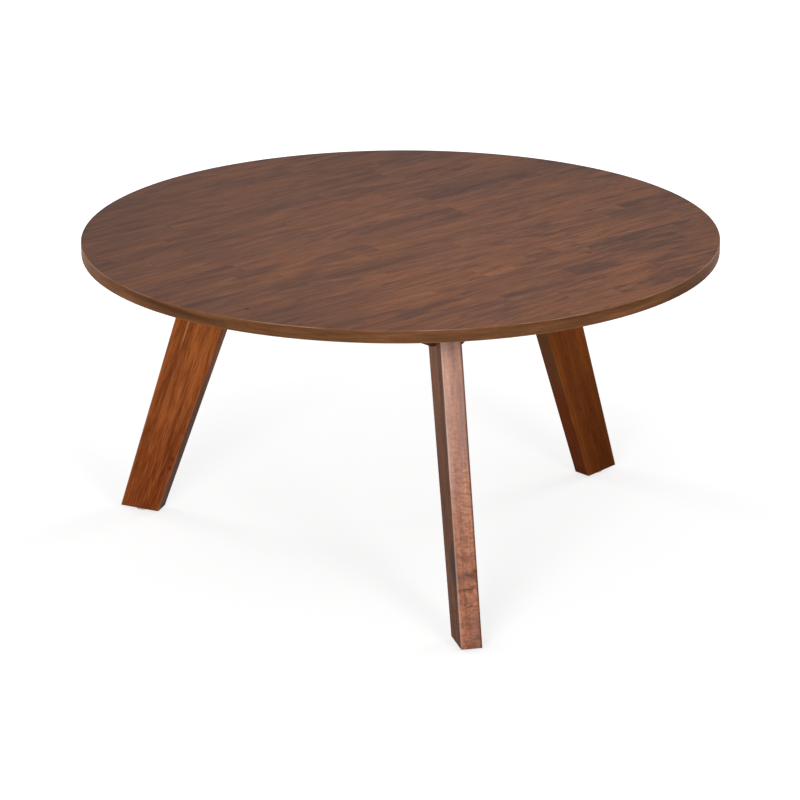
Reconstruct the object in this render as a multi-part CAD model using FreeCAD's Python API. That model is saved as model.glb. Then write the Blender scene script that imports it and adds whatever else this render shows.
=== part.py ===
import FreeCAD, Part
import math
import os

# Round cocktail table: a veneered disc on a three-sided apron, carried by three splayed board legs.
# Millimetres. The origin is on the floor under the middle of the top, +Z is up, and the front leg
# stands towards -Y.

Vector = FreeCAD.Vector
ORIGIN = Vector(0, 0, 0)
UP = Vector(0, 0, 1)

# Overall sizes
table_height = 463.55
top_diameter = 901.7

# Tabletop: a core between two veneers, with a band round its edge
core_thickness = 16.0
veneer_thickness = 0.6
band_thickness = 0.8
band_glue_line = 0.05
top_arris = 0.4

# Legs: boards standing in radial planes. Widths, and insets of the outer edge from the rim of the top,
# are level: at the floor for the foot, and under the top for the head
leg_thickness = 29.5
leg_foot_inset = 13.35
leg_foot_width = 60.9
leg_head_inset = 154.25
leg_head_width = 85.2
leg_edge_round = 2.0
foot_stand = 2.6
foot_rise = 4.2

# Apron: three rails in a triangle, whose blunt ends stop behind the outer edges of the leg heads
rail_end_setback = 12.35
rail_thickness = 22.0
rail_depth = 60.0
rail_blunt_end = 8.0
rail_edge_round = 1.5
rail_leg_gap = 0.2

# Corner blocks, glued and screwed between the rails behind each leg
block_thickness = 25.0
block_recess = 2.0

# Hanger bolts with washers and nuts, two to a leg
bolt_diameter = 8.0
bolt_spacing = 22.0
bolt_leg_grip = 34.0
bolt_tip_length = 6.0
bolt_tip_diameter = 2.0
bolt_past_nut = 3.0
bolt_end_chamfer = 0.8
bolt_hole_gap = 0.4
thread_gap = 0.1
washer_diameter = 16.0
washer_thickness = 1.6
washer_edge_margin = 0.5
spring_washer_diameter = 13.6
spring_washer_thickness = 2.0
spring_washer_slot = 1.5
nut_width = 13.0
nut_height = 6.5
nut_chamfer = 1.0

# Screws through the corner blocks into the rails
block_screw_diameter = 4.2
block_screw_grip = 15.0
block_screw_bite = 16.0
block_screw_inset = 12.0
block_screw_spacing = 24.0

# Screws up through the rails into the top
top_screw_diameter = 4.2
top_screw_grip = 26.0
top_screw_bite = 11.0
top_screw_offset = 100.0

# Common to all wood screws
screw_head_diameter = 8.0
screw_head_height = 3.0
screw_head_round = 1.2
screw_head_gap = 1.0
screw_shank_gap = 0.3
screw_tip_length = 4.0
screw_socket_width = 3.0
screw_socket_depth = 1.8

# Foot glides: nylon plugs nailed into round sockets under the feet
glide_diameter = 20.0
glide_socket_depth = 2.2
glide_socket_gap = 0.2
glide_edge_round = 1.0
nail_diameter = 2.8
nail_length = 22.0
nail_head_diameter = 7.0
nail_head_height = 1.2
nail_head_depth = 2.0
nail_gap = 0.1

# Legs in order round the table from the front one, and the rails that follow each of them
leg_places = ("front", "right", "left")
rail_places = ("right", "rear", "left")
leg_step = 360 / len(leg_places)
front_heading = math.degrees(math.atan2(-1, 0))
leg_headings = [front_heading + leg_step * index for index in range(len(leg_places))]
rail_headings = [heading + leg_step / 2 for heading in leg_headings]

# Each rail faces this far round from the legs at its ends, which makes the corners of a triangle
rail_turn = math.radians(leg_step / 2)
corner_slope = 1 / math.tan(rail_turn)

# Derived heights and radii
underside = table_height - 2 * veneer_thickness - core_thickness
top_radius = top_diameter / 2
core_radius = top_radius - band_thickness - band_glue_line
leg_foot_reach = top_radius - leg_foot_inset
leg_head_reach = top_radius - leg_head_inset

# Rails: the blunt ends give the distance of the outer faces from the table's axis
half_slot = leg_thickness / 2 + rail_leg_gap
rail_tip_radius = leg_head_reach - rail_end_setback
rail_distance = (rail_tip_radius + (half_slot + rail_blunt_end) / corner_slope) * math.cos(rail_turn)
rail_inner_distance = rail_distance - rail_thickness
rail_bottom = underside - rail_depth
block_depth = rail_depth - block_recess

# Inner edge of a leg in its radial plane, and the bolt direction square to it
inner_top = Vector(leg_head_reach - leg_head_width, 0, underside)
inner_floor = Vector(leg_foot_reach - leg_foot_width, 0, 0)
edge_way = (inner_floor - inner_top).normalize()
bolt_way = Vector(edge_way.z, 0, -edge_way.x)
block_level_thickness = block_thickness / abs(bolt_way.x)

# Feet: the glide stands on the floor at the middle of the foot
glide_height = foot_stand + foot_rise + glide_socket_depth


def leg_outer_radius(height):
    return leg_foot_reach + (leg_head_reach - leg_foot_reach) * height / underside


def leg_inner_radius(height):
    return inner_floor.x + (inner_top.x - inner_floor.x) * height / underside


glide_radius = (leg_inner_radius(foot_stand) + leg_outer_radius(foot_stand + foot_rise)) / 2
glide_middle = Vector(glide_radius, 0, 0)


def prism(points, way):
    """Solid swept along a vector from a closed outline of points."""
    outline = Part.makePolygon(list(points) + [points[0]])
    return Part.Face(outline).extrude(way)


def turned(shape, angle):
    """Copy of a shape turned round the table's axis."""
    copy = shape.copy()
    copy.rotate(ORIGIN, UP, angle)
    return copy


def aimed(shape, point, way):
    """Copy of a shape made along +Z, moved to a point and aimed along a direction."""
    copy = shape.copy()
    move = FreeCAD.Placement(point, FreeCAD.Rotation(UP, way))
    copy.Placement = move.multiply(copy.Placement)
    return copy


def hexagon(width, height, base):
    """Hexagonal prism along +Z, measured across its flats."""
    reach = width / math.sqrt(3)
    corners = []
    for step in range(6):
        angle = math.radians(60 * step)
        corners.append(Vector(reach * math.cos(angle), reach * math.sin(angle), base))
    return prism(corners, UP * height)


def rims_between(shape, low, high):
    """Round edges of a shape whose heights lie between two values."""
    return [edge for edge in shape.Edges if edge.Closed and low < edge.CenterOfMass.z < high]


def ring(outer_diameter, inner_diameter, height):
    outside = Part.makeCylinder(outer_diameter / 2, height)
    return outside.cut(Part.makeCylinder(inner_diameter / 2, height))


def tapered_rod(diameter, length, tip_diameter, tip_length):
    """Rod along +Z whose tapered tip points down to z = 0."""
    tip = Part.makeCone(tip_diameter / 2, diameter / 2, tip_length)
    body = Part.makeCylinder(diameter / 2, length - tip_length, Vector(0, 0, tip_length))
    return tip.fuse(body).removeSplitter()


# Tabletop

def top_core():
    disc = Part.makeCylinder(core_radius, core_thickness, Vector(0, 0, underside + veneer_thickness))
    return disc.cut(Part.makeCompound(top_screw_pilots()))


def top_veneer():
    disc = Part.makeCylinder(top_radius, veneer_thickness, Vector(0, 0, table_height - veneer_thickness))
    rim = rims_between(disc, table_height - veneer_thickness / 2, table_height + veneer_thickness / 2)
    return disc.makeFillet(top_arris, rim)


def bottom_veneer():
    disc = Part.makeCylinder(top_radius, veneer_thickness, Vector(0, 0, underside))
    return disc.cut(Part.makeCompound(top_screw_pilots()))


def edge_band():
    band = ring(top_diameter, top_diameter - 2 * band_thickness, core_thickness)
    band.translate(Vector(0, 0, underside + veneer_thickness))
    return band


# Wood screws

def wood_screw(diameter, length):
    """Screw along +Z with the underside of its head at z = 0 and a hexagon socket in the head."""
    head = Part.makeCylinder(screw_head_diameter / 2, screw_head_height, Vector(0, 0, -screw_head_height))
    crown = rims_between(head, -2 * screw_head_height, -screw_head_height / 2)
    head = head.makeFillet(screw_head_round, crown)
    head = head.cut(hexagon(screw_socket_width, screw_socket_depth, -screw_head_height))
    shank = Part.makeCylinder(diameter / 2, length - screw_tip_length)
    tip = Part.makeCone(diameter / 2, 0, screw_tip_length, Vector(0, 0, length - screw_tip_length))
    return head.fuse([shank, tip]).removeSplitter()


def screw_hole(diameter, grip, reach_back):
    """Clearance hole and counterbore for a screw, in the screw's own place along +Z."""
    hole = Part.makeCylinder(diameter / 2 + screw_shank_gap, grip)
    bore_radius = (screw_head_diameter + screw_head_gap) / 2
    bore = Part.makeCylinder(bore_radius, reach_back, Vector(0, 0, -reach_back))
    return hole.fuse(bore)


def pilot_hole(diameter, bite):
    return Part.makeCylinder(diameter / 2 + thread_gap, bite + thread_gap)


# Legs, in a frame where +X is the leg's radial direction

def foot_glide():
    glide = Part.makeCylinder(glide_diameter / 2, glide_height)
    glide = glide.makeFillet(glide_edge_round, rims_between(glide, -glide_height, glide_height / 2))
    glide = glide.cut(Part.makeCylinder(nail_diameter / 2 + nail_gap, glide_height))
    head_room = nail_head_depth + nail_head_height
    glide = glide.cut(Part.makeCylinder(nail_head_diameter / 2 + nail_gap, head_room))
    glide.translate(glide_middle)
    return glide


def glide_nail():
    head = Part.makeCylinder(nail_head_diameter / 2, nail_head_height)
    shank = Part.makeCylinder(nail_diameter / 2, nail_length)
    nail = head.fuse(shank).removeSplitter()
    nail.translate(glide_middle + UP * nail_head_depth)
    return nail


def glide_socket():
    """Room for the glide and its nail under a foot."""
    socket = Part.makeCylinder(glide_diameter / 2 + glide_socket_gap, glide_height, glide_middle)
    nail_room = nail_head_depth + nail_length + nail_gap
    return socket.fuse(Part.makeCylinder(nail_diameter / 2 + nail_gap, nail_room, glide_middle))


def bolt_points():
    """Where the two bolts cross the leg's inner edge, the lower one clear of the block's lower edge."""
    lower_edge = (block_depth - block_thickness * abs(bolt_way.z)) / abs(edge_way.z)
    low = lower_edge - washer_diameter / 2 - washer_edge_margin
    return [inner_top + edge_way * (low - bolt_spacing), inner_top + edge_way * low]


def leg():
    outer_foot_height = foot_stand + foot_rise
    outline = [
        inner_top,
        Vector(leg_head_reach, 0, underside),
        Vector(leg_outer_radius(outer_foot_height), 0, outer_foot_height),
        Vector(leg_inner_radius(foot_stand), 0, foot_stand),
    ]
    board = prism(outline, Vector(0, leg_thickness, 0))
    board.translate(Vector(0, -leg_thickness / 2, 0))
    long_edges = [edge for edge in board.Edges if edge.BoundBox.ZLength > underside / 2]
    board = board.makeFillet(leg_edge_round, long_edges)
    board = board.cut(glide_socket())
    pilot = pilot_hole(bolt_diameter, bolt_leg_grip)
    for point in bolt_points():
        board = board.cut(aimed(pilot, point, -bolt_way))
    return board


# Corner blocks and the bolts through them, in the leg's frame

def rail_way(side):
    """Outward direction of the rail on one side of a leg."""
    return Vector(math.cos(rail_turn), side * math.sin(rail_turn), 0)


def block_screw_seats():
    """Head seat and direction of each screw that holds a block to the rails beside it."""
    seats = []
    for side in (-1, 1):
        for depth in (block_screw_inset, block_screw_inset + block_screw_spacing):
            radius = leg_inner_radius(underside - depth) - block_level_thickness / 2
            spread = (rail_inner_distance / math.cos(rail_turn) - radius) * corner_slope
            joint = Vector(radius, side * spread, underside - depth)
            seats.append((joint - rail_way(side) * block_screw_grip, rail_way(side)))
    return seats


def corner_block():
    slide = Vector(-block_level_thickness, 0, 0)
    front_bottom = inner_top + edge_way * (block_depth / abs(edge_way.z))
    apex = rail_inner_distance / math.cos(rail_turn)
    half_base = apex * corner_slope
    outline = [inner_top, front_bottom, front_bottom + slide, inner_top + slide]
    slab = prism(outline, Vector(0, 2 * half_base, 0))
    slab.translate(Vector(0, -half_base, 0))
    plan = [
        Vector(apex, 0, rail_bottom),
        Vector(0, half_base, rail_bottom),
        Vector(0, -half_base, rail_bottom),
    ]
    block = slab.common(prism(plan, UP * rail_depth))
    for point in bolt_points():
        hole = Part.makeCylinder(bolt_diameter / 2 + bolt_hole_gap, block_thickness, point, bolt_way)
        block = block.cut(hole)
    for seat, way in block_screw_seats():
        block = block.cut(aimed(screw_hole(block_screw_diameter, block_screw_grip, apex), seat, way))
    return block.removeSplitter()


def hanger_bolt():
    length = bolt_leg_grip + block_thickness + washer_thickness + spring_washer_thickness
    length += nut_height + bolt_past_nut
    rod = tapered_rod(bolt_diameter, length, bolt_tip_diameter, bolt_tip_length)
    rod = rod.makeChamfer(bolt_end_chamfer, rims_between(rod, length / 2, 2 * length))
    rod.translate(Vector(0, 0, -bolt_leg_grip))
    return rod


def flat_washer():
    washer = ring(washer_diameter, bolt_diameter + 2 * bolt_hole_gap, washer_thickness)
    washer.translate(UP * block_thickness)
    return washer


def spring_washer():
    washer = ring(spring_washer_diameter, bolt_diameter + 2 * bolt_hole_gap, spring_washer_thickness)
    slot = Part.makeBox(spring_washer_diameter, spring_washer_slot, spring_washer_thickness)
    slot.translate(Vector(0, -spring_washer_slot / 2, 0))
    washer = washer.cut(slot)
    washer.translate(UP * (block_thickness + washer_thickness))
    return washer


def nut():
    blank = Part.makeCylinder(nut_width / math.sqrt(3), nut_height)
    blank = blank.makeChamfer(nut_chamfer, rims_between(blank, -nut_height, 2 * nut_height))
    body = hexagon(nut_width, nut_height, 0).common(blank)
    body = body.cut(Part.makeCylinder(bolt_diameter / 2 + thread_gap, nut_height))
    body.translate(UP * (block_thickness + washer_thickness + spring_washer_thickness))
    return body


def on_bolts(piece):
    """One copy of a piece on each bolt of a leg."""
    return Part.makeCompound([aimed(piece, point, bolt_way) for point in bolt_points()])


def block_screws():
    screw = wood_screw(block_screw_diameter, block_screw_grip + block_screw_bite)
    return Part.makeCompound([aimed(screw, seat, way) for seat, way in block_screw_seats()])


# Rails, in a frame where +X is the rail's outward direction and Y runs along it

def top_screw_places():
    """Head seat of each screw that holds a rail to the top."""
    middle = rail_distance - rail_thickness / 2
    seat_height = underside - top_screw_grip
    return [Vector(middle, side * top_screw_offset, seat_height) for side in (-1, 1)]


def top_screw_pilots():
    """Pilot holes in the top for the screws of every rail."""
    pilot = pilot_hole(top_screw_diameter, top_screw_bite)
    pilots = []
    for heading in rail_headings:
        for place in top_screw_places():
            hole = pilot.copy()
            hole.translate(place + UP * top_screw_grip)
            pilots.append(turned(hole, heading))
    return pilots


def rail_outline():
    """Plan of a rail: its ends lie along the sides of the legs and stop short of the corners."""
    leg_way = Vector(math.cos(rail_turn), math.sin(rail_turn), 0)
    side_way = Vector(math.sin(rail_turn), -math.cos(rail_turn), 0)
    heel_reach = (rail_inner_distance * side_way.x - half_slot) / -side_way.y
    outer_reach = (rail_tip_radius - rail_distance * leg_way.x) / leg_way.y
    tip = leg_way * rail_tip_radius + side_way * half_slot
    half = [Vector(rail_inner_distance, heel_reach, 0), tip, Vector(rail_distance, outer_reach, 0)]
    other = [Vector(point.x, -point.y, 0) for point in reversed(half)]
    return half + other


def rail(heading):
    board = prism(rail_outline(), UP * rail_depth)
    board.translate(UP * rail_bottom)
    lower_edges = []
    for edge in board.Edges:
        if edge.BoundBox.ZMax < rail_bottom + rail_edge_round and edge.BoundBox.XLength < rail_edge_round:
            lower_edges.append(edge)
    board = board.makeFillet(rail_edge_round, lower_edges)
    for place in top_screw_places():
        board = board.cut(aimed(screw_hole(top_screw_diameter, top_screw_grip, rail_depth), place, UP))
    board = turned(board, heading)
    pilot = pilot_hole(block_screw_diameter, block_screw_bite)
    for leg_heading in leg_headings:
        for seat, way in block_screw_seats():
            hole = aimed(pilot, seat + way * block_screw_grip, way)
            board = board.cut(turned(hole, leg_heading))
    return board


def top_screws():
    screw = wood_screw(top_screw_diameter, top_screw_grip + top_screw_bite)
    return Part.makeCompound([aimed(screw, place, UP) for place in top_screw_places()])


# Assembly

def assembly():
    """Every node of the table by name."""
    nodes = {
        "top_core": top_core(),
        "top_veneer": top_veneer(),
        "bottom_veneer": bottom_veneer(),
        "edge_band": edge_band(),
    }
    corner_pieces = {
        "leg": leg(),
        "corner_block": corner_block(),
        "hanger_bolts": on_bolts(hanger_bolt()),
        "flat_washers": on_bolts(flat_washer()),
        "spring_washers": on_bolts(spring_washer()),
        "nuts": on_bolts(nut()),
        "block_screws": block_screws(),
        "foot_glide": foot_glide(),
        "glide_nail": glide_nail(),
    }
    for place, heading in zip(leg_places, leg_headings):
        for piece, shape in corner_pieces.items():
            nodes[place + "_" + piece] = turned(shape, heading)
    for place, heading in zip(rail_places, rail_headings):
        nodes[place + "_rail"] = rail(heading)
        nodes[place + "_top_screws"] = turned(top_screws(), heading)
    return nodes


os.makedirs("parts", exist_ok=True)
for name, shape in assembly().items():
    shape.exportStep("parts/" + name + ".step")
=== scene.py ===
import math

import bpy
from mathutils import Matrix, Vector


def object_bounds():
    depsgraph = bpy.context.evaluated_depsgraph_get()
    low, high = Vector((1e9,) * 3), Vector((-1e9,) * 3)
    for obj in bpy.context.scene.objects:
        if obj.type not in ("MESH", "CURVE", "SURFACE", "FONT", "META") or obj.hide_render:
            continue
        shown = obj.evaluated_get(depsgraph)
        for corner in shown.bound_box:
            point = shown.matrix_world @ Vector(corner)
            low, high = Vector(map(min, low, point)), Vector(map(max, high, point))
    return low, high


# Looks of a round cocktail table with a stave-veneered top and three splayed board legs.
# Metres, in the part's own frame: floor at z = 0, front leg towards -Y.
# A fineness is a pair of features per metre, along and across the grain.
# A span holds two limits, and may go on with the values at the first and at the second.

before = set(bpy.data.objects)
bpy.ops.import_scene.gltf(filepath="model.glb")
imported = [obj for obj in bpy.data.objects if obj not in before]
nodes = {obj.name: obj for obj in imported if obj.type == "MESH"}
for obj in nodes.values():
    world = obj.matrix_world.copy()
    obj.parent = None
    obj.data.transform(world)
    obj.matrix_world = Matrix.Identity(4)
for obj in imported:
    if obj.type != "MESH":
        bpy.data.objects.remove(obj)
cad_low, cad_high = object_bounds()
TOP_RADIUS = cad_high.x
TABLE_HEIGHT = cad_high.z


def srgb(red, green, blue):
    """Linear colour from the 0 to 255 values of a screen colour."""
    linear = []
    for value in (red, green, blue):
        share = value / 255
        linear.append(share / 12.92 if share <= 0.04045 else ((share + 0.055) / 1.055) ** 2.4)
    return (*linear, 1.0)


class Shade:
    """One material and short ways to add nodes to it."""

    EDGE_SPAN = (0.02, 0.22)

    def __init__(self, name):
        self.material = bpy.data.materials.new(name)
        self.material.use_nodes = True
        self.tree = self.material.node_tree
        self.tree.nodes.clear()

    def node(self, kind, **settings):
        made = self.tree.nodes.new(kind)
        for key, value in settings.items():
            setattr(made, key, value)
        return made

    def feed(self, socket, value):
        if isinstance(value, bpy.types.NodeSocket):
            self.tree.links.new(value, socket)
        else:
            socket.default_value = value

    def place(self):
        return self.node("ShaderNodeTexCoord").outputs["Object"]

    def math(self, operation, first, second=0.0):
        made = self.node("ShaderNodeMath", operation=operation)
        self.feed(made.inputs[0], first)
        self.feed(made.inputs[1], second)
        return made.outputs[0]

    def times(self, product, *others):
        for other in others:
            product = self.math("MULTIPLY", product, other)
        return product

    def gap(self, value, middle):
        """Distance of a value from a middle."""
        return self.math("ABSOLUTE", self.math("SUBTRACT", value, middle))

    def ramp(self, value, low, high, start=0.0, end=1.0):
        """Value brought smoothly from start to end between two limits."""
        made = self.node("ShaderNodeMapRange", interpolation_type="SMOOTHSTEP")
        for socket, number in zip(made.inputs, (value, low, high, start, end)):
            self.feed(socket, number)
        return made.outputs[0]

    def fade(self, value, low, high, start=1.0):
        """Value brought smoothly from start to nothing between two limits."""
        return self.ramp(value, low, high, start, 0.0)

    def mix(self, factor, first, second, blend="MIX"):
        made = self.node("ShaderNodeMix", data_type="RGBA", blend_type=blend)
        self.feed(made.inputs[0], factor)
        self.feed(made.inputs[6], first)
        self.feed(made.inputs[7], second)
        return made.outputs[2]

    def lay(self, tone, colour, *masks):
        """Tone laid over a colour as far as the product of the masks says."""
        return self.mix(self.times(*masks), colour, tone)

    def split(self, vector):
        made = self.node("ShaderNodeSeparateXYZ")
        self.feed(made.inputs[0], vector)
        return made.outputs

    def join(self, x, y, z):
        made = self.node("ShaderNodeCombineXYZ")
        for socket, value in zip(made.inputs, (x, y, z)):
            self.feed(socket, value)
        return made.outputs[0]

    def length(self, x, y):
        made = self.node("ShaderNodeVectorMath", operation="LENGTH")
        self.feed(made.inputs[0], self.join(x, y, 0.0))
        return made.outputs["Value"]

    def turn(self, vector, axis, angle):
        made = self.node("ShaderNodeVectorRotate", rotation_type=axis + "_AXIS")
        self.feed(made.inputs["Vector"], vector)
        self.feed(made.inputs["Angle"], angle)
        return made.outputs[0]

    def noise(self, vector, detail, roughness=0.55, distortion=0.0):
        made = self.node("ShaderNodeTexNoise")
        self.feed(made.inputs["Vector"], vector)
        self.feed(made.inputs["Scale"], 1.0)
        self.feed(made.inputs["Detail"], detail)
        self.feed(made.inputs["Roughness"], roughness)
        self.feed(made.inputs["Distortion"], distortion)
        return made.outputs["Fac"]

    def speckle(self, fineness, detail):
        """Noise that is alike in all directions, with its features per metre."""
        scaled = self.node("ShaderNodeVectorMath", operation="SCALE")
        self.feed(scaled.inputs[0], self.place())
        self.feed(scaled.inputs["Scale"], fineness)
        return self.noise(scaled.outputs[0], detail)

    def grain_noise(self, run, fineness, detail=3.0, distortion=0.0):
        """Noise drawn out along the first of three lengths."""
        along, across, depth = run
        fine_along, fine_across = fineness
        vector = self.join(
            self.math("MULTIPLY", along, fine_along),
            self.math("MULTIPLY", across, fine_across),
            self.math("MULTIPLY", depth, fine_across),
        )
        return self.noise(vector, detail, roughness=0.6, distortion=distortion)

    def cell_row(self, value, unevenness, feature):
        """Node for a row of uneven cells along a line."""
        made = self.node("ShaderNodeTexVoronoi", voronoi_dimensions="1D", feature=feature)
        self.feed(made.inputs["W"], value)
        self.feed(made.inputs["Scale"], 1.0)
        self.feed(made.inputs["Randomness"], unevenness)
        return made

    def cells(self, value, unevenness):
        """Three random values for each cell of a row."""
        return self.split(self.cell_row(value, unevenness, "F1").outputs["Color"])

    def seams(self, value, unevenness, width):
        """Mask of the lines between the cells of a row, with a width in cells."""
        row = self.cell_row(value, unevenness, "DISTANCE_TO_EDGE")
        return self.fade(row.outputs["Distance"], 0.0, width)

    def bump(self, height, distance):
        made = self.node("ShaderNodeBump")
        self.feed(made.inputs["Strength"], 1.0)
        self.feed(made.inputs["Distance"], distance)
        self.feed(made.inputs["Height"], height)
        return made.outputs[0]

    def edge_mask(self, radius):
        """Mask that is 1 on sharp edges and 0 on flats."""
        soft = self.node("ShaderNodeBevel", samples=4)
        self.feed(soft.inputs["Radius"], radius)
        flat = self.node("ShaderNodeNewGeometry").outputs["Normal"]
        likeness = self.node("ShaderNodeVectorMath", operation="DOT_PRODUCT")
        self.feed(likeness.inputs[0], soft.outputs[0])
        self.feed(likeness.inputs[1], flat)
        return self.ramp(self.math("SUBTRACT", 1.0, likeness.outputs["Value"]), *self.EDGE_SPAN)

    def close(self, colour, roughness, normal, metallic=0.0, specular=0.5):
        shader = self.node("ShaderNodeBsdfPrincipled")
        self.feed(shader.inputs["Base Color"], colour)
        self.feed(shader.inputs["Roughness"], roughness)
        self.feed(shader.inputs["Metallic"], metallic)
        self.feed(shader.inputs["Specular IOR Level"], specular)
        self.feed(shader.inputs["Normal"], normal)
        output = self.node("ShaderNodeOutputMaterial")
        self.tree.links.new(shader.outputs[0], output.inputs["Surface"])
        return self.material


# Wood in general

STREAKS = (6.0, 62.0)
FINE_FIBRES = (22.0, 330.0)
PORES = (60.0, 900.0)
PORE_SPAN = (0.60, 0.72)
DARK_TO_MIDDLE = (0.30, 0.52)
MIDDLE_TO_LIGHT = (0.50, 0.72)
DARK_FIBRES = (0.34, 0.62, 0.40)
PORE_SHARE = 0.35
FIBRE_SPAN = (0.2, 0.8)
FIBRE_RELIEF = 0.5

# Finish of each wood: roughness in and on its fibres, depth of its relief, and sheen
FINISHES = {
    "top": ((0.50, 0.40), 0.00012, 0.04),
    "band": ((0.52, 0.42), 0.0001, 0.02),
    "board": ((0.58, 0.46), 0.00012, 0.06),
    "leg": ((0.60, 0.48), 0.0001, 0.03),
}


def grain(shade, run, streaks=STREAKS):
    """Streaks, fibres and pores of wood whose grain runs along the first of three lengths."""
    return (
        shade.grain_noise(run, streaks, detail=4.0, distortion=0.5),
        shade.grain_noise(run, FINE_FIBRES),
        shade.ramp(shade.grain_noise(run, PORES, detail=1.0), *PORE_SPAN),
    )


def wood_colour(shade, parts, tones):
    """Dark, middle and light tones laid out by the parts of the grain."""
    streaks, fibres, pores = parts
    dark, middle, light = tones
    colour = shade.mix(shade.ramp(streaks, *DARK_TO_MIDDLE), dark, middle)
    colour = shade.lay(light, colour, shade.ramp(streaks, *MIDDLE_TO_LIGHT))
    colour = shade.lay(dark, colour, shade.fade(fibres, *DARK_FIBRES))
    return shade.lay(dark, colour, pores, PORE_SHARE)


def finish_wood(shade, colour, parts, finish):
    """Wood closed with the roughness, the pores' relief and the sheen of its finish."""
    _, fibres, pores = parts
    roughness, relief, sheen = FINISHES[finish]
    height = shade.math("SUBTRACT", shade.times(fibres, FIBRE_RELIEF), pores)
    rough = shade.ramp(fibres, *FIBRE_SPAN, *roughness)
    return shade.close(colour, rough, shade.bump(height, relief), specular=sheen)


# Stave veneer of the top: its layout

STAVE_HEADING = math.radians(26.5)
STAVE_WIDTH = 0.034
STAVE_LENGTH = 0.24
STRIP_UNEVENNESS = 0.55
STAVE_UNEVENNESS = 0.9
STRIP_SEAM = 0.03
STAVE_SEAM = 0.005
STAGGER = 57.0
GRAIN_LEAN = (-0.15, 0.0)
SHIFT_ALONG = 9.0
SHIFT_ACROSS = 5.0
TOP_STREAKS = (6.0, 66.0)

# Its tones: dark, middle and light, and the tints of single staves and of broad clouds
TOP_TONES = (srgb(78, 45, 30), srgb(100, 60, 38), srgb(114, 70, 43))
HEART_TONE = srgb(62, 36, 28)
STAVE_TINTS = ((0.87, 0.88, 0.92, 1), (1.11, 1.10, 1.06, 1))
BROAD_TINTS = ((1.10, 1.07, 1.0, 1), (0.90, 0.93, 1.0, 1))
BROAD_CLOUDS = (5.0, 11.0)
BROAD_SEED = 2.7
BROAD_SPAN = (0.3, 0.7)
LEFT_TINT = (0.93, 0.94, 0.97, 1)
LEFT_REACH = (-0.40, -0.05)

# Its dark figure, which is livelier towards the right
LIVELY_SPAN = (-0.40, 0.20, 0.45, 1.15)
HEART = (10.0, 38.0)
HEART_BIAS = 0.20
HEART_SPAN = (0.63, 0.80, 0.0, 0.66)
FLAMES = (16.0, 150.0)
FLAME_LEAN = 0.075
FLAME_SEED = 1.3
FLAME_SPAN = (0.57, 0.67, 0.0, 0.45)
SEAM_SHARE = 0.14

# Its marks: pin knots, a painted glint along the rim that is palest towards the front, and the dark far
# rim
PIN_KNOTS = ((-0.274, -0.304), (0.233, -0.158))
PIN_KNOT_SPAN = (0.0, 0.006, 0.9)
NEAR_BLACK = srgb(34, 22, 20)
RIM_GLINT_TONES = (srgb(132, 80, 48), srgb(204, 160, 132))
RIM_GLINT_SPAN = (TOP_RADIUS - 0.0018, TOP_RADIUS - 0.0008)
RIM_GLINT_SHARE = 0.55
GLINT_CLOUDS = (9.0, 9.0)
GLINT_SPAN = (0.42, 0.62)
GLINT_FRONT = (-TOP_RADIUS, -0.7 * TOP_RADIUS, 1.0, 0.3)
FAR_RIM_SPAN = (TOP_RADIUS - 0.005, TOP_RADIUS - 0.001, 0.0, 0.5)
FAR_SIDE = (0.0, 0.1)


def stave_layout(shade, along, across):
    """Grain lengths shifted from stave to stave, each stave's random values, and the seams."""
    in_strips = shade.math("DIVIDE", across, STAVE_WIDTH)
    strip = shade.cells(in_strips, STRIP_UNEVENNESS)
    stagger = shade.times(strip[0], STAGGER)
    in_staves = shade.math("ADD", shade.math("DIVIDE", along, STAVE_LENGTH), stagger)
    stave = shade.cells(in_staves, STAVE_UNEVENNESS)
    lean = shade.times(along, shade.ramp(stave[1], 0.0, 1.0, *GRAIN_LEAN))
    run = (
        shade.math("ADD", along, shade.times(stave[1], SHIFT_ALONG)),
        shade.math("ADD", shade.math("ADD", across, lean), shade.times(stave[2], SHIFT_ACROSS)),
        strip[1],
    )
    long_seams = shade.seams(in_strips, STRIP_UNEVENNESS, STRIP_SEAM)
    short_seams = shade.seams(in_staves, STAVE_UNEVENNESS, STAVE_SEAM)
    return run, stave, shade.math("MAXIMUM", long_seams, short_seams)


def dark_figure(shade, colour, run, stave, along, across, lively):
    """Dark heartwood in some staves, and narrow flames that lean across them all."""
    heart = shade.grain_noise(run, HEART, distortion=0.4)
    heart = shade.math("ADD", heart, shade.times(stave[2], HEART_BIAS))
    colour = shade.lay(HEART_TONE, colour, shade.ramp(heart, *HEART_SPAN), lively)
    leaning = shade.math("SUBTRACT", across, shade.times(along, FLAME_LEAN))
    flames = shade.grain_noise((along, leaning, FLAME_SEED), FLAMES, distortion=0.5)
    return shade.lay(HEART_TONE, colour, shade.ramp(flames, *FLAME_SPAN), lively)


def top_marks(shade, colour, x, y, z):
    """Pin knots, a painted glint along the rim, and the dark far rim."""
    for knot_x, knot_y in PIN_KNOTS:
        gap = shade.length(shade.math("SUBTRACT", x, knot_x), shade.math("SUBTRACT", y, knot_y))
        colour = shade.lay(NEAR_BLACK, colour, shade.fade(gap, *PIN_KNOT_SPAN))
    radius = shade.length(x, y)
    # Painted glint on the rim's arris, uneven and palest towards the front
    highlight_share = shade.ramp(shade.grain_noise((x, y, z), GLINT_CLOUDS, detail=2.0), *GLINT_SPAN)
    highlight_share = shade.times(highlight_share, shade.ramp(y, *GLINT_FRONT))
    glint_tone = shade.mix(highlight_share, *RIM_GLINT_TONES)
    colour = shade.lay(glint_tone, colour, shade.ramp(radius, *RIM_GLINT_SPAN), RIM_GLINT_SHARE)
    return shade.lay(NEAR_BLACK, colour, shade.ramp(radius, *FAR_RIM_SPAN), shade.ramp(y, *FAR_SIDE))


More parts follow.
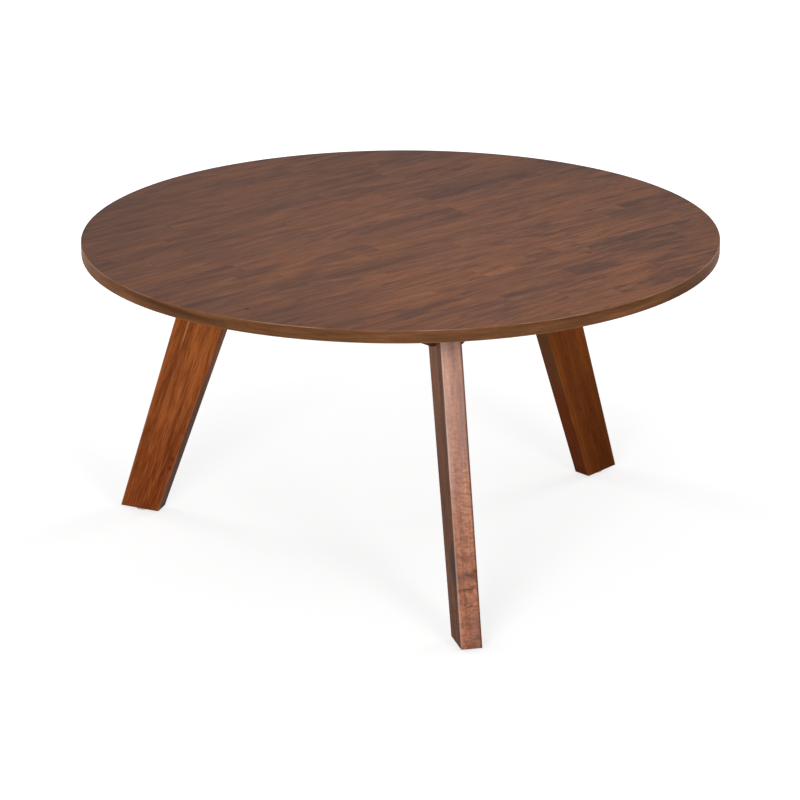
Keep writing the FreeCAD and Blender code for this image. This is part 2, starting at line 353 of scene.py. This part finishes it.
def stave_veneer():
    """Veneer of short staves, laid slantwise across the round top."""
    shade = Shade("stave_veneer")
    x, y, z = shade.split(shade.place())
    along, across, _ = shade.split(shade.turn(shade.place(), "Z", -STAVE_HEADING))
    run, stave, seams = stave_layout(shade, along, across)
    parts = grain(shade, run, TOP_STREAKS)
    colour = wood_colour(shade, parts, TOP_TONES)
    colour = shade.mix(1.0, colour, shade.mix(stave[0], *STAVE_TINTS), "MULTIPLY")
    lively = shade.ramp(x, *LIVELY_SPAN)
    colour = dark_figure(shade, colour, run, stave, along, across, lively)
    colour = shade.lay(HEART_TONE, colour, seams, SEAM_SHARE)
    broad = shade.grain_noise((along, across, BROAD_SEED), BROAD_CLOUDS, detail=2.0)
    broad_tint = shade.mix(shade.ramp(broad, *BROAD_SPAN), *BROAD_TINTS)
    colour = shade.mix(1.0, colour, broad_tint, "MULTIPLY")
    colour = shade.mix(shade.fade(x, *LEFT_REACH), colour, LEFT_TINT, "MULTIPLY")
    colour = top_marks(shade, colour, x, y, z)
    return finish_wood(shade, colour, parts, "top")


# Edge band, back veneer and rails

BAND_TONES = (srgb(70, 44, 27), srgb(100, 65, 41), srgb(124, 82, 53))
# Painted sheen: the band is laid paler towards its left and right sides
BAND_SHEEN_TINT = (1.42, 1.42, 1.34, 1)
BAND_SHEEN_POWER = 4.0
BACK_TONES = (srgb(92, 60, 38), srgb(116, 80, 54), srgb(128, 92, 64))
BACK_HEADING = 60.0
BACK_SEED = 3.1
# Rail tones darkened to paint the shade that the top casts on the rails
RAIL_SHADED_TONES = (srgb(58, 33, 18), srgb(75, 44, 25), srgb(88, 54, 32))
RAIL_HEADINGS = {"right": -30.0, "rear": 90.0, "left": 210.0}
RAIL_SEED = 0.9
# Board edges laid in the light tone as a painted highlight
BOARD_HIGHLIGHT_RADIUS = 0.002
BOARD_EDGE_HIGHLIGHT = 0.4


def band_veneer():
    """Edge band with its grain running round the top, and a painted sheen that makes it paler to the left
    and right.
    """
    shade = Shade("band_veneer")
    x, y, z = shade.split(shade.place())
    angle = shade.math("ARCTAN2", x, shade.times(y, -1.0))
    parts = grain(shade, (shade.times(angle, TOP_RADIUS), z, 0.0))
    colour = wood_colour(shade, parts, BAND_TONES)
    # Painted sheen, strongest where the band faces left or right
    side_sheen = shade.math("ABSOLUTE", shade.math("SINE", angle))
    side_sheen = shade.math("POWER", side_sheen, BAND_SHEEN_POWER)
    colour = shade.mix(side_sheen, colour, BAND_SHEEN_TINT, "MULTIPLY")
    return finish_wood(shade, colour, parts, "band")


def board_wood(name, heading, tones, seed):
    """Plain wood of a level board, with its grain along its heading."""
    shade = Shade(name)
    along, across, depth = shade.split(shade.turn(shade.place(), "Z", -math.radians(heading)))
    parts = grain(shade, (shade.math("ADD", along, seed), across, depth))
    colour = wood_colour(shade, parts, tones)
    # Painted highlight along the board's sharp edges
    colour = shade.lay(tones[2], colour, shade.edge_mask(BOARD_HIGHLIGHT_RADIUS), BOARD_EDGE_HIGHLIGHT)
    return finish_wood(shade, colour, parts, "board")


# Legs: their shape, and where each one stands

LEG_SPLAY = math.radians(18.93)
LEG_AXIS = 0.385
LEG_FOOT = -0.132
LEG_HEAD = 0.340
HALF_WIDTH_AT_FOOT = 0.0288
HALF_WIDTH_AT_HEAD = 0.0403
LEG_HALF_THICKNESS = 0.01475
FACE_SPAN = (0.0008, 0.0022)
LEG_HEADINGS = {"front": -90.0, "right": 30.0, "left": 150.0}
LEG_SEED = 1.7

# Their tones: dark, middle and light, at the head and at the foot
HEAD_TONES = {
    "front": (srgb(105, 65, 44), srgb(144, 93, 65), srgb(164, 110, 79)),
    "left": (srgb(126, 66, 30), srgb(172, 97, 48), srgb(201, 121, 64)),
    "right": (srgb(121, 63, 25), srgb(143, 77, 32), srgb(159, 88, 38)),
}
FOOT_TONES = {
    "front": (srgb(66, 37, 19), srgb(106, 61, 31), srgb(137, 84, 45)),
    "left": (srgb(82, 32, 12), srgb(118, 56, 24), srgb(140, 73, 34)),
    "right": (srgb(73, 32, 5), srgb(90, 41, 6), srgb(103, 50, 11)),
}
HEAD_REACH = {"front": (0.06, 0.28), "left": (-0.12, 0.24), "right": (LEG_FOOT, LEG_HEAD)}

# The strip glued to their outer edge
EDGE_STRIP = 0.0155
GLUE_LINE = 0.0003
STRIP_SHIFT = 5.3
STRIP_SPAN = (0.0, 0.18, 0.05, 0.30)
STRIP_TONES = {
    "front": HEAD_TONES["front"][0],
    "left": HEAD_TONES["left"][0],
    "right": HEAD_TONES["right"][2],
}

# Their narrow faces: the outer one paled by a painted sheen, with its streaks, and the inner one, in
# painted shade on the front and left legs, from foot to head
SHEENED_OUTER_HEAD = (srgb(144, 111, 103), srgb(190, 145, 125), srgb(208, 162, 138))
SHEENED_OUTER_FOOT = (srgb(138, 88, 67), srgb(172, 113, 86), srgb(198, 135, 102))
OUTER_SHEEN_SHARE = {"front": 1.0, "left": 0.25, "right": 0.25}
OUTER_STREAKS = (7.0, 190.0)
OUTER_STREAK_SPAN = (0.42, 0.66)
OUTER_STREAK_HEIGHT = (0.2, 0.6, 0.1, 0.42)
INNER_TONES = {"front": srgb(58, 47, 39), "left": srgb(50, 36, 27), "right": srgb(104, 36, 0)}
INNER_SHARE = {"front": (0.35, 0.35), "left": (0.90, 0.35), "right": (0.50, 0.0)}
INNER_HEIGHT = (0.2, 0.8)

# Their figure: ripple, fibres and low clouds
RIPPLE = (300.0, 160.0)
RIPPLE_SPAN = (0.36, 0.60)
RIPPLE_SHARE = {"front": 0.40, "left": 0.06, "right": 0.20}
RIPPLE_HEIGHT = (0.3, 1.0, 1.0, 0.35)
LEG_FIBRES = (34.0, 620.0)
DARK_FIBRE_SPAN = (0.36, 0.50)
LIGHT_FIBRE_SPAN = (0.50, 0.64)
FIBRE_SHARE = {"front": 0.10, "left": 0.30, "right": 0.20}
LIGHT_TO_DARK = 0.6
CLOUDS = (46.0, 24.0)
CLOUD_SPAN = (0.50, 0.68)
CLOUD_BOTTOM = 0.10
CLOUD_TOP = {"front": 0.26, "left": 0.55, "right": 0.55}
CLOUD_TO_RIPPLE = 2

# Their long edges: a painted highlight on one side, from foot to head, and painted shade on the other
LIT_SIDE = {"front": -1.0, "left": 1.0, "right": -1.0}
HIGHLIGHT_TONES = {"front": srgb(214, 180, 166), "left": srgb(186, 132, 94), "right": srgb(160, 98, 52)}
HIGHLIGHT_SHARE = {"front": 0.60, "left": 0.35, "right": 0.50}
HIGHLIGHT_SPAN = (0.0006, 0.0026)
HIGHLIGHT_STREAKS = (0.35, 0.60, 0.3, 1.0)
HIGHLIGHT_HEIGHT = (0.0, 0.8)
HIGHLIGHT_BY_HEIGHT = {"front": (0.65, 1.0), "left": (1.2, 0.2), "right": (1.0, 0.8)}
SHADED_EDGE_SPAN = (0.0008, 0.0040, 0.75)
SHADED_EDGE_TONES = {
    "front": srgb(78, 36, 12),
    "left": FOOT_TONES["left"][0],
    "right": FOOT_TONES["right"][0],
}
SIDE_SPAN = (-0.004, 0.004)


class Leg:
    """A leg's own lengths, growing outwards, through it and upwards, and masks of its narrow faces."""

    def __init__(self, shade, heading):
        turned = shade.turn(shade.place(), "Z", -math.radians(heading))
        outwards, self.depth, self.along = shade.split(shade.turn(turned, "Y", LEG_SPLAY))
        self.across = shade.math("SUBTRACT", outwards, LEG_AXIS)
        self.height = shade.ramp(self.along, LEG_FOOT, LEG_HEAD)
        gain = (HALF_WIDTH_AT_HEAD - HALF_WIDTH_AT_FOOT) / (LEG_HEAD - LEG_FOOT)
        at_zero = HALF_WIDTH_AT_FOOT - LEG_FOOT * gain
        half_width = shade.math("ADD", shade.times(self.along, gain), at_zero)
        from_outer = shade.math("SUBTRACT", half_width, self.across)
        self.from_inner = shade.math("ADD", half_width, self.across)
        from_side = shade.math("SUBTRACT", LEG_HALF_THICKNESS, shade.math("ABSOLUTE", self.depth))
        from_narrow = shade.math("MINIMUM", from_outer, self.from_inner)
        self.from_edge = shade.math("MAXIMUM", from_narrow, from_side)
        self.outer = shade.fade(from_outer, *FACE_SPAN)
        self.inner = shade.fade(self.from_inner, *FACE_SPAN)


def narrow_faces(shade, colour, leg, run, parts, place):
    """Outer face paled by a painted sheen, with dull streaks, and the inner face darkened by painted shade
    on the front and left legs and tinted orange low on the right leg.
    """
    foot = wood_colour(shade, parts, SHEENED_OUTER_FOOT)
    sheened = shade.lay(wood_colour(shade, parts, SHEENED_OUTER_HEAD), foot, leg.height)
    streaks = shade.grain_noise(run, OUTER_STREAKS, detail=2.0, distortion=0.4)
    streaks = shade.ramp(streaks, *OUTER_STREAK_SPAN)
    sheened = shade.lay(SHEENED_OUTER_HEAD[0], sheened, streaks, shade.ramp(leg.height, *OUTER_STREAK_HEIGHT))
    # Painted sheen on the outer face, palest towards the head
    colour = shade.lay(sheened, colour, leg.outer, OUTER_SHEEN_SHARE[place])
    # Painted shade on the inner faces of the front and left legs; an orange tone low on the right leg
    inner_share = shade.ramp(leg.height, *INNER_HEIGHT, *INNER_SHARE[place])
    return shade.lay(INNER_TONES[place], colour, leg.inner, inner_share)


def leg_figure(shade, colour, leg, run, place):
    """Fine ripple across the grain, thin dark and light fibres, and darker clouds near the foot."""
    dark = FOOT_TONES[place][0]
    light = HEAD_TONES[place][2]
    ripple = shade.fade(shade.grain_noise(run, RIPPLE), *RIPPLE_SPAN, RIPPLE_SHARE[place])
    colour = shade.lay(dark, colour, ripple, shade.ramp(leg.height, *RIPPLE_HEIGHT))
    fibres = shade.grain_noise(run, LEG_FIBRES, detail=2.0)
    share = FIBRE_SHARE[place]
    colour = shade.lay(dark, colour, shade.fade(fibres, *DARK_FIBRE_SPAN, share))
    colour = shade.lay(light, colour, shade.ramp(fibres, *LIGHT_FIBRE_SPAN, 0.0, LIGHT_TO_DARK * share))
    clouds = shade.ramp(shade.grain_noise(run, CLOUDS, distortion=0.4), *CLOUD_SPAN)
    cloud_share = CLOUD_TO_RIPPLE * RIPPLE_SHARE[place]
    low = shade.fade(leg.height, CLOUD_BOTTOM, CLOUD_TOP[place], cloud_share)
    return shade.lay(dark, colour, clouds, low)


def lit_and_shaded_edges(shade, colour, leg, streaks, place):
    """Long edges with a painted highlight on one side of the leg and painted shade on the other."""
    lit_side = shade.ramp(shade.times(leg.depth, LIT_SIDE[place]), *SIDE_SPAN)
    shaded_side = shade.math("SUBTRACT", 1.0, lit_side)
    shaded_edge = shade.fade(leg.from_edge, *SHADED_EDGE_SPAN)
    # Painted shade along the edges on the shaded side
    colour = shade.lay(SHADED_EDGE_TONES[place], colour, shaded_edge, shaded_side)
    edge = shade.fade(leg.from_edge, *HIGHLIGHT_SPAN)
    highlight_share = shade.ramp(leg.height, *HIGHLIGHT_HEIGHT, *HIGHLIGHT_BY_HEIGHT[place])
    uneven = shade.ramp(streaks, *HIGHLIGHT_STREAKS)
    # Painted highlight along the edges on the lit side
    return shade.lay(HIGHLIGHT_TONES[place], colour, edge, lit_side, highlight_share, uneven, HIGHLIGHT_SHARE[place])


def leg_wood(place, heading, seed):
    """Wood of a leg glued up from a wide board and an outer edge strip, with grain along the leg."""
    shade = Shade(place + "_leg_wood")
    leg = Leg(shade, heading)
    strip = shade.ramp(leg.across, EDGE_STRIP - GLUE_LINE, EDGE_STRIP + GLUE_LINE)
    shift = shade.math("ADD", shade.times(strip, STRIP_SHIFT), seed)
    run = (shade.math("ADD", leg.along, shift), leg.across, leg.depth)
    parts = grain(shade, run)
    foot = wood_colour(shade, parts, FOOT_TONES[place])
    head = wood_colour(shade, parts, HEAD_TONES[place])
    colour = shade.lay(head, foot, shade.ramp(leg.along, *HEAD_REACH[place]))
    colour = shade.lay(STRIP_TONES[place], colour, strip, shade.ramp(leg.along, *STRIP_SPAN))
    if place == "left":
        colour = left_leg_marks(shade, colour, leg)
    colour = narrow_faces(shade, colour, leg, run, parts, place)
    colour = leg_figure(shade, colour, leg, run, place)
    if place == "front":
        colour = front_leg_marks(shade, colour, leg)
    if place == "right":
        colour = right_leg_marks(shade, colour, leg)
    colour = lit_and_shaded_edges(shade, colour, leg, parts[0], place)
    return finish_wood(shade, colour, parts, "leg")


# Marks of the left leg: each has its span across the leg and its span along it

LEFT_HEART_START = (-0.015, -0.007)
LEFT_HEART_END = (0.001, 0.007)
LEFT_HEART_ALONG = (0.0, 0.10, 0.0, 0.5)
SAPWOOD = srgb(192, 130, 80)
SLIVER_ACROSS = (0.0006, 0.0020, 0.7)
SLIVER_ALONG = (0.125, 0.17)
DULL_INSIDE_ACROSS = (-0.035, 0.004, 0.60)
DULL_INSIDE_ALONG = (0.10, 0.22)
PALE_FOOT_ACROSS = (0.004, 0.018, 0.0, 0.55)
PALE_FOOT_ALONG = (-0.10, -0.06)

# Its knots: place across and along, and radius
LEG_KNOTS = ((-0.0245, -0.030, 0.0048), (-0.0255, -0.046, 0.0040))
KNOT_TONE = srgb(46, 22, 11)
KNOT_SQUASH = 0.6
KNOT_SHARE = 0.75
KNOT_DEPTH = (0.0, 0.012)


def left_leg_marks(shade, colour, leg):
    """Dark heart and a sapwood sliver at the glue line, dull inner head, pale outer foot and knots."""
    off_line = shade.math("SUBTRACT", leg.across, EDGE_STRIP)
    heart = shade.times(shade.ramp(off_line, *LEFT_HEART_START), shade.fade(off_line, *LEFT_HEART_END))
    colour = shade.lay(FOOT_TONES["left"][0], colour, heart, shade.ramp(leg.along, *LEFT_HEART_ALONG))
    sliver = shade.fade(shade.math("ABSOLUTE", off_line), *SLIVER_ACROSS)
    colour = shade.lay(SAPWOOD, colour, sliver, shade.ramp(leg.along, *SLIVER_ALONG))
    inside = shade.fade(leg.across, *DULL_INSIDE_ACROSS)
    colour = shade.lay(HEAD_TONES["left"][0], colour, inside, shade.ramp(leg.along, *DULL_INSIDE_ALONG))
    outside = shade.ramp(leg.across, *PALE_FOOT_ACROSS)
    colour = shade.lay(FOOT_TONES["left"][2], colour, outside, shade.fade(leg.along, *PALE_FOOT_ALONG))
    for knot_across, knot_along, radius in LEG_KNOTS:
        off_along = shade.times(shade.math("SUBTRACT", leg.along, knot_along), KNOT_SQUASH)
        gap = shade.length(shade.math("SUBTRACT", leg.across, knot_across), off_along)
        knot = shade.fade(gap, 0.0, radius, KNOT_SHARE)
        colour = shade.lay(KNOT_TONE, colour, knot, shade.ramp(leg.depth, *KNOT_DEPTH))
    return colour


# Marks of the front leg: bands across it, each with its middle, reach and strength

FRONT_BANDS = (
    (0.165, 0.040, 0.14),
    (-0.014, 0.006, 0.20),
    (-0.038, 0.011, 0.60),
    (-0.056, 0.006, 0.35),
    (-0.072, 0.006, 0.45),
    (-0.100, 0.006, 0.15),
)
FRONT_BAND_TONE = srgb(98, 68, 64)
WANDER = (60.0, 90.0)
WANDER_SPAN = (0.2, 0.8, -0.006, 0.006)

# On its outer face: a dull streak, a painted sheen on the left, a dull right edge and a dark foot
STREAK_LEAN = 0.06
STREAK_OFFSET = -0.0045
STREAK_SPAN = (0.0, 0.004, 0.5)
STREAK_START = (0.06, 0.12)
STREAK_END = (0.20, 0.28)
PAINTED_SHEEN_SPAN = (-0.012, -0.001, 0.18)
PAINTED_SHEEN_ALONG = (0.03, 0.10)
RIGHT_EDGE = (-0.010, 0.012)
DULL_HEAD_START = (0.10, 0.16, 0.0, 0.5)
DULL_HEAD_END = (0.20, 0.26, 1.0, 0.15)
DARK_FOOT_ALONG = (-0.105, -0.065, 0.65)

# On its left side: painted shade towards the outer edge, and a dark patch
LEFT_SIDE = (-0.0146, -0.0120)
PAINTED_SHADE_ACROSS = (-0.020, 0.034, 0.0, 0.40)
PATCH_TONE = srgb(44, 32, 24)
PATCH_MIDDLE = -0.022
PATCH_ALONG = (0.012, 0.040, 0.80)
PATCH_ACROSS = (-0.006, 0.014)


def front_leg_marks(shade, colour, leg):
    """Wavy dark bands across the leg, and the marks of its outer face and its left side."""
    wander = shade.grain_noise((leg.along, leg.across, leg.depth), WANDER, detail=2.0)
    wavy = shade.math("ADD", leg.along, shade.ramp(wander, *WANDER_SPAN))
    for middle, reach, strength in FRONT_BANDS:
        band = shade.fade(shade.gap(wavy, middle), 0.0, reach, strength)
        colour = shade.lay(FRONT_BAND_TONE, colour, band)
    colour = front_outer_marks(shade, colour, leg, wavy)
    left_side = shade.fade(leg.depth, *LEFT_SIDE)
    # Painted shade on the left side, deepening towards the outer edge
    colour = shade.lay(FOOT_TONES["front"][0], colour, left_side, shade.ramp(leg.across, *PAINTED_SHADE_ACROSS))
    patch = shade.fade(shade.gap(wavy, PATCH_MIDDLE), *PATCH_ALONG)
    return shade.lay(PATCH_TONE, colour, patch, shade.ramp(leg.across, *PATCH_ACROSS), left_side)


def front_outer_marks(shade, colour, leg, wavy):
    """Dull streak up the upper leg, painted sheen on the left, and a right edge that is dull above, dark
    below.
    """
    dull = SHEENED_OUTER_HEAD[0]
    middle = shade.math("ADD", shade.times(wavy, STREAK_LEAN), STREAK_OFFSET)
    streak = shade.fade(shade.gap(leg.depth, middle), *STREAK_SPAN)
    streak_along = shade.times(shade.ramp(leg.along, *STREAK_START), shade.fade(leg.along, *STREAK_END))
    colour = shade.lay(dull, colour, streak, streak_along)
    # Painted sheen: the left of the outer face laid paler in the highlight tone on the upper leg
    sheen = shade.times(shade.fade(leg.depth, *PAINTED_SHEEN_SPAN), shade.ramp(leg.along, *PAINTED_SHEEN_ALONG))
    colour = shade.lay(HIGHLIGHT_TONES["front"], colour, sheen, leg.outer)
    right_edge = shade.times(shade.ramp(leg.depth, *RIGHT_EDGE), leg.outer)
    head = shade.times(shade.ramp(leg.along, *DULL_HEAD_START), shade.ramp(leg.along, *DULL_HEAD_END))
    colour = shade.lay(dull, colour, right_edge, head)
    return shade.lay(FRONT_BAND_TONE, colour, right_edge, shade.fade(leg.along, *DARK_FOOT_ALONG))


# Marks of the right leg, on its wide face and on its inner face

PALE_STRIP_SPAN = (0.004, 0.024, 0.22)
PALE_STRIP_ALONG = (0.0, 0.28, 1.0, 0.3)
INNER_LINE = 0.0075
INNER_LINE_SPAN = (0.0003, 0.0014, 0.42)
INNER_SHADE_TONE = srgb(92, 66, 40)
INNER_SHADE_ALONG = (-0.02, 0.11, 0.0, 0.55)
INNER_FOOT_ALONG = (-0.120, -0.085, 0.40)


def right_leg_marks(shade, colour, leg):
    """Paler strip with a glue line beside the inner face, whose head carries painted shade and whose foot
    is dark.
    """
    line = shade.fade(shade.gap(leg.from_inner, INNER_LINE), *INNER_LINE_SPAN)
    strip = shade.math("MAXIMUM", shade.fade(leg.from_inner, *PALE_STRIP_SPAN), line)
    wide_face = shade.math("SUBTRACT", 1.0, leg.inner)
    strip_along = shade.ramp(leg.along, *PALE_STRIP_ALONG)
    colour = shade.lay(HEAD_TONES["right"][2], colour, strip, wide_face, strip_along)
    # Painted shade on the inner face, growing towards the head
    colour = shade.lay(INNER_SHADE_TONE, colour, leg.inner, shade.ramp(leg.along, *INNER_SHADE_ALONG))
    return shade.lay(FOOT_TONES["right"][0], colour, leg.inner, shade.fade(leg.along, *INNER_FOOT_ALONG))


# Unfinished wood

RAW_TONES = (srgb(150, 112, 72), srgb(184, 146, 100), srgb(204, 170, 124))
RAW_ROUGHNESS = (0.8, 0.66)
RAW_SHEEN = 0.25
CHIP_TONES = (srgb(140, 104, 66), srgb(196, 160, 112))
CHIPS = 420.0
CHIP_ROUGHNESS = 0.8
CHIP_SHEEN = 0.2
SAWN_RELIEF = 0.0004


def raw_wood():
    """Sawn pale wood of the corner blocks."""
    shade = Shade("raw_wood")
    x, y, z = shade.split(shade.place())
    parts = grain(shade, (shade.math("ADD", x, y), z, shade.math("SUBTRACT", x, y)))
    fibres = parts[1]
    rough = shade.ramp(fibres, *FIBRE_SPAN, *RAW_ROUGHNESS)
    colour = wood_colour(shade, parts, RAW_TONES)
    return shade.close(colour, rough, shade.bump(fibres, SAWN_RELIEF), specular=RAW_SHEEN)


def particle_board():
    """Pressed chips of the top's core."""
    shade = Shade("particle_board")
    chips = shade.node("ShaderNodeTexVoronoi")
    shade.feed(chips.inputs["Vector"], shade.place())
    shade.feed(chips.inputs["Scale"], CHIPS)
    colour = shade.mix(shade.split(chips.outputs["Color"])[0], *CHIP_TONES)
    relief = shade.bump(chips.outputs["Distance"], SAWN_RELIEF)
    return shade.close(colour, CHIP_ROUGHNESS, relief, specular=CHIP_SHEEN)


# Metal and nylon

ZINC_TONES = (srgb(176, 178, 182), srgb(204, 206, 208))
YELLOW_ZINC_TONES = (srgb(178, 160, 104), srgb(206, 186, 130))
WORN_STEEL = srgb(225, 225, 222)
STEEL_CLOUDS = 260.0
STEEL_CLOUD_SPAN = (0.3, 0.7)
STEEL_WEAR_RADIUS = 0.0006
STEEL_WEAR = 0.5
STEEL_ROUGHNESS = (0.25, 0.75, 0.26, 0.44)
STEEL_RELIEF = 0.00005
NYLON_TONES = (srgb(196, 190, 178), srgb(218, 212, 200))
NYLON_SPECKLE = 500.0
NYLON_ROUGHNESS = (0.3, 0.7, 0.42, 0.58)
NYLON_RELIEF = 0.00006
SCUFF_TONE = srgb(120, 112, 100)
SCUFF_HEIGHT = (0.0, 0.0012, 0.6)


def plated_steel(name, tones):
    """Zinc-plated steel, cloudy and a little worn on its edges."""
    shade = Shade(name)
    cloud = shade.speckle(STEEL_CLOUDS, detail=4.0)
    colour = shade.mix(shade.ramp(cloud, *STEEL_CLOUD_SPAN), *tones)
    colour = shade.lay(WORN_STEEL, colour, shade.edge_mask(STEEL_WEAR_RADIUS), STEEL_WEAR)
    rough = shade.ramp(cloud, *STEEL_ROUGHNESS)
    return shade.close(colour, rough, shade.bump(cloud, STEEL_RELIEF), metallic=1.0)


def nylon():
    """Moulded natural nylon with a scuffed underside."""
    shade = Shade("nylon")
    speckle = shade.speckle(NYLON_SPECKLE, detail=3.0)
    z = shade.split(shade.place())[2]
    colour = shade.mix(speckle, *NYLON_TONES)
    colour = shade.lay(SCUFF_TONE, colour, shade.fade(z, *SCUFF_HEIGHT), speckle)
    return shade.close(colour, shade.ramp(speckle, *NYLON_ROUGHNESS), shade.bump(speckle, NYLON_RELIEF))


# Dressing of the nodes

ZINC_PIECES = ("hanger_bolts", "flat_washers", "spring_washers", "nuts", "glide_nail")


def dress(node, material):
    node.data.materials.clear()
    node.data.materials.append(material)


def dress_table():
    dress(nodes["top_veneer"], stave_veneer())
    dress(nodes["edge_band"], band_veneer())
    dress(nodes["bottom_veneer"], board_wood("back_veneer", BACK_HEADING, BACK_TONES, BACK_SEED))
    dress(nodes["top_core"], particle_board())
    block = raw_wood()
    zinc = plated_steel("bright_zinc", ZINC_TONES)
    yellow_zinc = plated_steel("yellow_zinc", YELLOW_ZINC_TONES)
    glide = nylon()
    for number, (place, heading) in enumerate(LEG_HEADINGS.items()):
        dress(nodes[place + "_leg"], leg_wood(place, heading, LEG_SEED * number))
        dress(nodes[place + "_corner_block"], block)
        for piece in ZINC_PIECES:
            dress(nodes[place + "_" + piece], zinc)
        dress(nodes[place + "_block_screws"], yellow_zinc)
        dress(nodes[place + "_foot_glide"], glide)
    for number, (place, heading) in enumerate(RAIL_HEADINGS.items()):
        # The rails carry painted shade in their darkened tones
        wood = board_wood(place + "_rail_wood", heading + 90, RAIL_SHADED_TONES, RAIL_SEED * number)
        dress(nodes[place + "_rail"], wood)
        dress(nodes[place + "_top_screws"], yellow_zinc)


# Stage: the world, the floor, the lamps and the camera

WHITE = (1, 1, 1, 1)
AMBIENT = 0.38
FLOOR_RADIUS = 14.0
FLOOR_SIDES = 96
FLOOR_DROP = 0.0003
FLOOR_COLOUR = (0.45, 0.45, 0.45, 1)
FLOOR_GLOW = 0.68
SHADOW_REACH = 1.9

# Each lamp's azimuth and elevation in degrees, distance, width and power
LAMPS = {
    "key": (-28, 16, 4.5, 1.8, 122.0),
    "front": (13, 22, 3.6, 0.9, 34.0),
    "overhead": (34, 78, 0.85, 0.4, 3.0),
    "rear_right": (118, 13, 4.5, 1.8, 58.0),
    "rear_left": (222, 13, 4.5, 1.8, 58.0),
}

# The camera's place round the table's axis, and its view
CAMERA_DISTANCE = 4.4666
CAMERA_HEIGHT = 1.7720
CAMERA_AZIMUTH = math.radians(-12.469)
CAMERA_HEADING = math.radians(-12.450)
CAMERA_PITCH = math.radians(19.253)
CAMERA_ROLL = math.radians(-0.188)
CAMERA_LENS = 147.73


def seen_as_white(tree):
    """Factor that is 1 for rays that show the background itself."""
    path = tree.nodes.new("ShaderNodeLightPath")
    total = path.outputs["Is Camera Ray"]
    for name in ("Is Glossy Ray", "Is Transmission Ray"):
        either = tree.nodes.new("ShaderNodeMath")
        either.operation = "MAXIMUM"
        tree.links.new(total, either.inputs[0])
        tree.links.new(path.outputs[name], either.inputs[1])
        total = either.outputs[0]
    return total


def white_background(tree, strength):
    made = tree.nodes.new("ShaderNodeBackground")
    made.inputs["Color"].default_value = WHITE
    made.inputs["Strength"].default_value = strength
    return made.outputs[0]


def make_world():
    """World that lights the table softly and is seen as white."""
    world = bpy.data.worlds.new("studio")
    bpy.context.scene.world = world
    world.use_nodes = True
    tree = world.node_tree
    tree.nodes.clear()
    choice = tree.nodes.new("ShaderNodeMixShader")
    output = tree.nodes.new("ShaderNodeOutputWorld")
    tree.links.new(seen_as_white(tree), choice.inputs[0])
    tree.links.new(white_background(tree, AMBIENT), choice.inputs[1])
    tree.links.new(white_background(tree, 1.0), choice.inputs[2])
    tree.links.new(choice.outputs[0], output.inputs[0])


def make_floor():
    """Floor that takes a faint shadow near the table and glows white farther out."""
    bpy.ops.mesh.primitive_circle_add(
        vertices=FLOOR_SIDES, radius=FLOOR_RADIUS, fill_type="NGON", location=(0, 0, -FLOOR_DROP),
    )
    floor = bpy.context.object
    floor.name = "floor"
    shade = Shade("pale_floor")
    tree = shade.tree
    diffuse = shade.node("ShaderNodeBsdfDiffuse")
    diffuse.inputs["Color"].default_value = FLOOR_COLOUR
    x, y, _ = shade.split(shade.place())
    glow_level = shade.ramp(shade.length(x, y), TOP_RADIUS, SHADOW_REACH, FLOOR_GLOW, 1.0)
    glow = shade.node("ShaderNodeEmission")
    glow.inputs["Color"].default_value = WHITE
    tree.links.new(shade.times(seen_as_white(tree), glow_level), glow.inputs["Strength"])
    both = shade.node("ShaderNodeAddShader")
    output = shade.node("ShaderNodeOutputMaterial")
    tree.links.new(diffuse.outputs[0], both.inputs[0])
    tree.links.new(glow.outputs[0], both.inputs[1])
    tree.links.new(both.outputs[0], output.inputs["Surface"])
    dress(floor, shade.material)


def make_lamp(name, azimuth, elevation, distance, width, power):
    """Round soft lamp aimed at the middle of the table."""
    data = bpy.data.lights.new(name, "AREA")
    data.shape = "DISK"
    data.size = width
    data.energy = power
    lamp = bpy.data.objects.new(name, data)
    bpy.context.scene.collection.objects.link(lamp)
    turn = math.radians(azimuth)
    rise = math.radians(elevation)
    level = math.cos(rise)
    away = Vector((math.sin(turn) * level, -math.cos(turn) * level, math.sin(rise)))
    lamp.location = away * distance + Vector((0, 0, TABLE_HEIGHT / 2))
    lamp.rotation_euler = (-away).to_track_quat("-Z", "Y").to_euler()
    lamp.visible_camera = False


def make_camera():
    data = bpy.data.cameras.new("camera")
    data.lens = CAMERA_LENS
    camera = bpy.data.objects.new("camera", data)
    bpy.context.scene.collection.objects.link(camera)
    right = math.sin(CAMERA_AZIMUTH) * CAMERA_DISTANCE
    forward = -math.cos(CAMERA_AZIMUTH) * CAMERA_DISTANCE
    place = Matrix.Translation(Vector((right, forward, CAMERA_HEIGHT)))
    heading = Matrix.Rotation(CAMERA_HEADING, 4, "Z")
    tilt = Matrix.Rotation(math.pi / 2 - CAMERA_PITCH, 4, "X")
    roll = Matrix.Rotation(CAMERA_ROLL, 4, "Z")
    camera.matrix_world = place @ heading @ tilt @ roll
    bpy.context.scene.camera = camera


dress_table()
make_world()
make_floor()
for lamp_name, settings in LAMPS.items():
    make_lamp(lamp_name, *settings)
make_camera()
bpy.context.scene.view_settings.view_transform = "Standard"
